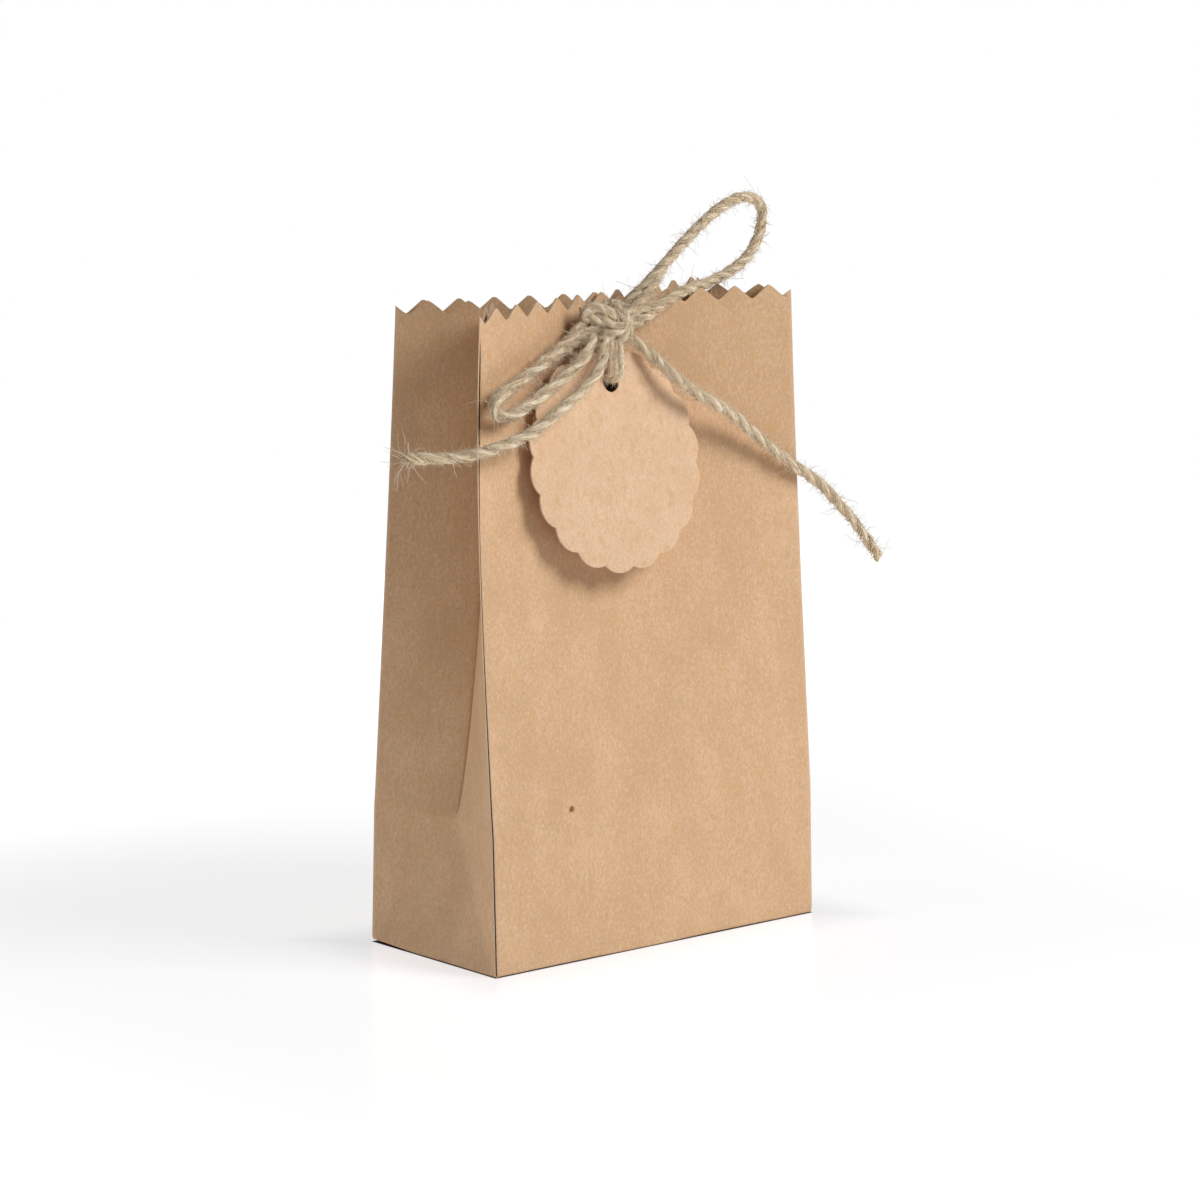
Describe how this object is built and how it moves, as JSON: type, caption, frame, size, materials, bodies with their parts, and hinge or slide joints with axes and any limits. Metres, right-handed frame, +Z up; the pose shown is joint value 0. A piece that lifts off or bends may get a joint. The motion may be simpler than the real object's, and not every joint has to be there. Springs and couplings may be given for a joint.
{
  "type": "gift bag",
  "caption": "Small kraft-card gift bag with gusseted sides and a zigzag top edge, pinched shut by a jute twine bow that carries a scalloped round tag.",
  "frame": {"origin": "middle of the base, on the surface that the bag stands on", "axes": "+Z up, front panel with the bow towards -Y, +X to the right seen from the front"},
  "size_m": [0.1491, 0.047, 0.1757],
  "materials": {
    "kraft_card": "uncoated",
    "tag_card": "uncoated",
    "jute_twine": "fibrous"
  },
  "bodies": {
    "bag": {"front_panel": "kraft_card", "back_panel": "kraft_card", "left_gusset_front": "kraft_card", "left_gusset_back": "kraft_card", "left_gusset_foot": "kraft_card", "right_gusset_front": "kraft_card", "right_gusset_back": "kraft_card", "right_gusset_foot": "kraft_card", "glue_flap": "kraft_card", "base_flap_front": "kraft_card", "base_flap_back": "kraft_card", "base_flap_left": "kraft_card", "base_flap_right": "kraft_card", "bow_knot": "jute_twine", "bow_loop_large": "jute_twine", "bow_loop_small": "jute_twine", "tail_left": "jute_twine", "tail_right": "jute_twine", "tie_strand": "jute_twine"},
    "tie": {"tag_tie": "jute_twine"},
    "tag": {"hang_tag": "tag_card"}
  },
  "joints": [
    {"name": "tag_swing", "type": "hinge", "parent": "bag", "child": "tie", "pos_m": [-0.0032, -0.012, 0.1428], "axis": [0, 1, 0], "range_deg": [-10, 4]},
    {"name": "tag_lift", "type": "hinge", "parent": "tie", "child": "tag", "pos_m": [-0.0052, -0.0118, 0.13455], "axis": [-1, 0, 0], "range_deg": [-2, 12]}
  ]
}
